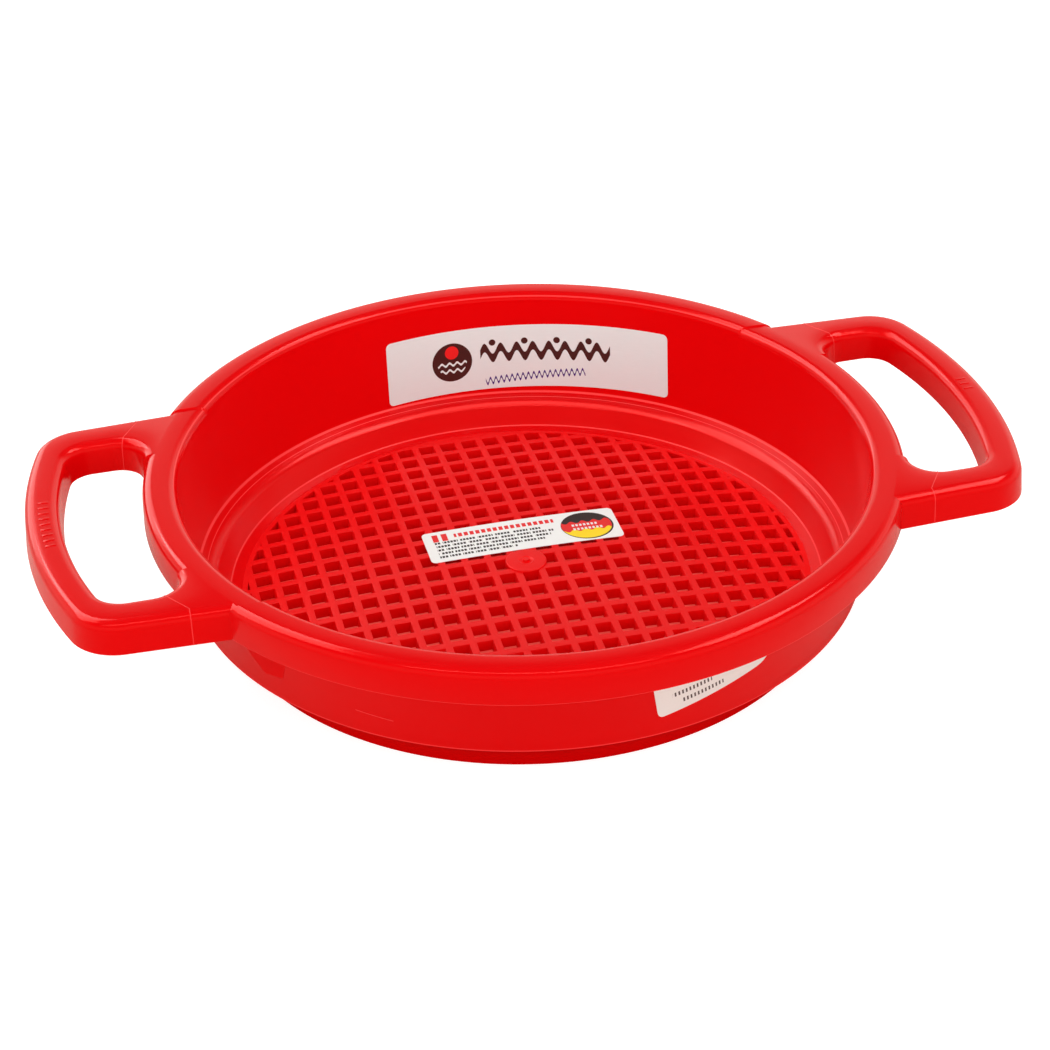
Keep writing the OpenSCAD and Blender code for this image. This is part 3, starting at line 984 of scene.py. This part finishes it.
def outerDesign(tree, u, v, paper):
    # two short dashed lines
    p = outerPrint
    for left, right, level in p["lines"]:
        height = sums(tree, "SUBTRACT", v, sloping(tree, u, left, p["slope"], level))
        row = within(tree, height, -p["half"], p["half"])
        area = both(tree, row, within(tree, u, left, right))
        yield both(tree, area, dashes(tree, u, *p["dashes"])), inks["grey"]


def makeFloorLabel():
    piece = flatLabel("floorLabelFilm", floorLabel)
    addModifier(piece, "SOLIDIFY", thickness=floorLabel["film"] * mm, offset=1)
    editAll()
    x, y = floorLabel["place"]
    bpy.ops.transform.translate(value=(x * mm, y * mm, 0))
    turnRoundZ(math.radians(floorLabel["turn"]))
    bpy.ops.object.mode_set(mode="OBJECT")
    for v in piece.data.vertices:
        v.co.z += (floorRise(v.co.x / mm, v.co.y / mm) + floorLabel["lift"]) * mm
    smoothPiece(piece, labelFilm["smooth"])
    piece.data.materials.append(filmMaterial("floorLabelPrint", floorLabel["colour"], floorDesign))
    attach(piece, "root")
    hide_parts("floor_label")


def wrapLabel(piece, radius, label, inside):
    # the flat sheet stands up, bends round the wall and is laid on it
    roll, slope = math.radians(label["roll"]), math.atan(lean)
    apex = radius / math.sin(slope)
    for v in piece.data.vertices:
        x, y = v.co.x / mm, v.co.y / mm
        u = x * math.cos(roll) - y * math.sin(roll)
        w = x * math.sin(roll) + y * math.cos(roll)
        # on the wall's surface, rolled out flat round its apex
        near = apex + w
        angle = u / near / math.sin(slope)
        r = near * math.sin(slope) + label["lift"]
        z = label["middle"] + (near - apex) * math.cos(slope)
        a = math.radians(label["azimuth"]) + (-angle if inside else angle)
        v.co = Vector((r * math.cos(a), r * math.sin(a), z)) * mm


def makeWallLabel():
    piece = flatLabel("wallLabelFilm", wallLabel)
    wrapLabel(piece, insideAt(wallLabel["middle"]), wallLabel, True)
    addModifier(piece, "SOLIDIFY", thickness=wallLabel["film"] * mm, offset=1)
    smoothPiece(piece, labelFilm["smooth"])
    piece.data.materials.append(filmMaterial("wallLabelPrint", wallLabel["colour"], wallDesign))
    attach(piece, "root")
    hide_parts("wall_label")


def makeOuterLabel():
    piece = flatLabel("outerLabelFilm", outerLabel)
    # its lower right corner is cut in a wide round
    wide = outerLabel["wideCorner"]
    centre = Vector((outerLabel["length"] / 2 - wide, wide - outerLabel["height"] / 2))
    for v in piece.data.vertices:
        off = v.co.xy / mm - centre
        if off.x > 0 and off.y < 0 and off.length > wide:
            v.co.xy = (centre + off.normalized() * wide) * mm
    wrapLabel(piece, insideAt(outerLabel["middle"]) + bowl["wall"], outerLabel, False)
    addModifier(piece, "SOLIDIFY", thickness=outerLabel["film"] * mm, offset=1)
    smoothPiece(piece, labelFilm["smooth"])
    piece.data.materials.append(filmMaterial("outerLabelPrint", outerLabel["colour"], outerDesign))
    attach(piece, "root")
    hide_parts("outer_label")


makeFloorLabel()
makeWallLabel()
makeOuterLabel()
print("labels done")


# floor, lamps and camera

# distances (m) where a colour starts and ends to change, colours inside and outside; the reds near
# and under the sieve are painted red bounce light and shade
floorPaint = {
    "paintedBounceAndShade": (0.096, 0.108, (0.7, 0.02, 0.015), (0.78, 0.48, 0.43)),
    "seen": (0.0865, 0.088, (0.9, 0.16, 0.14), (0.5, 0.5, 0.5)),
    "glow": (0.0865, 0.088, (0.3, 0.015, 0.01), (0.86, 0.86, 0.86)),
    "size": 6,
}
# what the plastic reflects: height of a direction from 0 to 1, and brightness there
studioAir = {
    "levels": ((0.44, 1.0), (0.475, 0.42), (0.54, 0.4), (0.57, 0.3), (0.61, 0.05)),
    "blueShare": 0.9,
}
# place, aim, size and power
fills = {
    "overheadFill": ((0, 0, 1.5), origin, (2.4, 2.4), 26),
    "leftFill": ((-1.4, -0.6, 0.5), origin, (1.2, 0.9), 3.2),
    "rightFill": ((1.2, -0.9, 0.5), origin, (1.2, 0.9), 3.2),
    "frontFill": ((-0.4, -1.6, 0.75), (0, 0, 0.05), (2.6, 1.3), 7),
    "backFill": ((0.3, 1.5, 0.5), origin, (1.8, 0.9), 5),
}
# these are seen only as reflections in the plastic
cards = {
    "frontBank": ((-0.4, -1.6, 0.75), (0, 0, 0.05), (2.6, 1.3), 18),
    "frontStrip": ((-0.172, -0.689, 1.053), origin, (1.2, 0.11), 4),
    "leftSoftbox": ((-0.79, 0.62, 1.11), origin, (1.4, 0.9), 26),
    "rightSoftbox": ((0.80, -0.14, 1.26), origin, (1.1, 0.4), 15),
    "leftBackSoftbox": ((-0.6, 1.28, 0.51), origin, (0.8, 0.8), 3.5),
    "ledgeCard": ((-0.06, -0.25, 1.28), origin, (2.4, 0.6), 34),
}
view = {
    "azimuth": 14.07, "elevation": 32.11, "roll": 1.475, "lens": 90.62, "sensor": 36,
    "place": (-0.15923, -0.63521, 0.43147),
}


def makeStage():
    deselectAll()
    bpy.ops.mesh.primitive_plane_add(size=floorPaint["size"], location=origin)
    ground = bpy.context.object
    ground.name = "paleFloor"
    mat = bpy.data.materials.new("paleFloorPaint")
    mat.use_nodes = True
    tree = mat.node_tree
    tree.nodes.remove(tree.nodes["Principled BSDF"])
    out = tree.nodes["Material Output"]
    where = nodeAt(tree, "ShaderNodeTexCoord", (-1600, 0))
    far = nodeAt(tree, "ShaderNodeVectorMath", (-1400, 0), operation="LENGTH")
    rays = nodeAt(tree, "ShaderNodeLightPath", (-1000, 300))
    tree.links.new(where.outputs["Object"], far.inputs[0])

    def byDistance(place, key):
        # a colour that changes with the distance from the sieve's middle
        near, away, inner, outer = floorPaint[key]
        fade = nodeAt(tree, "ShaderNodeMapRange", place, interpolation_type="SMOOTHSTEP")
        fade.inputs["From Min"].default_value = near
        fade.inputs["From Max"].default_value = away
        blend = nodeAt(tree, "ShaderNodeMixRGB", (place[0] + 200, place[1]))
        blend.inputs["Color1"].default_value = (*inner, 1)
        blend.inputs["Color2"].default_value = (*outer, 1)
        tree.links.new(far.outputs["Value"], fade.inputs["Value"])
        tree.links.new(fade.outputs["Result"], blend.inputs["Fac"])
        return blend.outputs["Color"]

    # painted red bounce and shade: what the sieve reflects and is lit by from below is painted red
    # near it and pinkish further out, and what the camera sees is paler, with painted red under
    # the sieve
    paint = nodeAt(tree, "ShaderNodeMixRGB", (-600, 0))
    tree.links.new(rays.outputs["Is Camera Ray"], paint.inputs["Fac"])
    tree.links.new(byDistance((-1100, 0), "paintedBounceAndShade"), paint.inputs["Color1"])
    tree.links.new(byDistance((-1100, -300), "seen"), paint.inputs["Color2"])
    plain = nodeAt(tree, "ShaderNodeBsdfDiffuse", (-400, 0))
    tree.links.new(paint.outputs["Color"], plain.inputs["Color"])
    # a glow for the camera alone makes the floor white and leaves a soft shadow on it; under the
    # sieve the glow is red, a painted red bounce seen through the holes
    lift = nodeAt(tree, "ShaderNodeEmission", (-400, -300))
    tree.links.new(byDistance((-1100, -600), "glow"), lift.inputs["Color"])
    tree.links.new(rays.outputs["Is Camera Ray"], lift.inputs["Strength"])
    together = nodeAt(tree, "ShaderNodeAddShader", (-200, 0))
    tree.links.new(plain.outputs["BSDF"], together.inputs[0])
    tree.links.new(lift.outputs["Emission"], together.inputs[1])
    tree.links.new(together.outputs["Shader"], out.inputs["Surface"])
    ground.data.materials.append(mat)


def makeWorld():
    # the camera sees white, and the plastic a studio that is bright low down and dark above
    world = bpy.data.worlds.new("studioAir")
    bpy.context.scene.world = world
    world.use_nodes = True
    tree = world.node_tree
    back = tree.nodes["Background"]
    rays = nodeAt(tree, "ShaderNodeLightPath", (-800, 300))
    where = nodeAt(tree, "ShaderNodeTexCoord", (-1200, 0))
    split = nodeAt(tree, "ShaderNodeSeparateXYZ", (-1000, 0))
    ramp = nodeAt(tree, "ShaderNodeValToRGB", (-800, 0))
    stops = ramp.color_ramp.elements
    for k, (height, level) in enumerate(studioAir["levels"]):
        stop = stops[k] if k < 2 else stops.new(height)
        stop.position = height
        stop.color = (level, level, level * studioAir["blueShare"], 1)
    mix = nodeAt(tree, "ShaderNodeMixRGB", (-300, 100))
    mix.inputs["Color2"].default_value = (1, 1, 1, 1)
    tree.links.new(where.outputs["Generated"], split.inputs["Vector"])
    tree.links.new(split.outputs["Z"], ramp.inputs["Fac"])
    tree.links.new(ramp.outputs["Color"], mix.inputs["Color1"])
    tree.links.new(rays.outputs["Is Camera Ray"], mix.inputs["Fac"])
    tree.links.new(mix.outputs["Color"], back.inputs["Color"])


def addLamp(name, place, aim, size, power):
    deselectAll()
    bpy.ops.object.light_add(type="AREA", location=place)
    lamp = bpy.context.object
    lamp.name = name
    lamp.data.shape = "RECTANGLE"
    lamp.data.size, lamp.data.size_y = size
    lamp.data.energy = power
    lamp.rotation_mode = "QUATERNION"
    lamp.rotation_quaternion = (Vector(aim) - Vector(place)).to_track_quat("-Z", "Y")
    return lamp


def makeCamera():
    a, e, r = (math.radians(view[k]) for k in ("azimuth", "elevation", "roll"))
    back = Vector((-math.sin(a) * math.cos(e), -math.cos(a) * math.cos(e), math.sin(e)))
    right = Vector((math.cos(a), -math.sin(a), 0))
    up = back.cross(right)
    camX = math.cos(r) * right - math.sin(r) * up
    camY = math.sin(r) * right + math.cos(r) * up
    bpy.ops.object.camera_add(location=view["place"])
    camera = bpy.context.object
    camera.data.lens = view["lens"]
    camera.data.sensor_width = view["sensor"]
    turn = Matrix((camX, camY, back)).transposed().to_4x4()
    camera.matrix_world = Matrix.Translation(view["place"]) @ turn
    bpy.context.scene.camera = camera


makeStage()
makeWorld()
for name, settings in fills.items():
    addLamp(name, *settings).visible_glossy = False
for name, settings in cards.items():
    lamp = addLamp(name, *settings)
    lamp.visible_diffuse = False
# the last card lights the ledge inside the bowl alone
lamp.light_linking.receiver_collection = bpy.data.collections.new("ledgeOnly")
lamp.light_linking.receiver_collection.objects.link(bowlShell)
makeCamera()
bpy.context.scene.view_settings.view_transform = "Standard"
print("stage, lamps and camera ready")
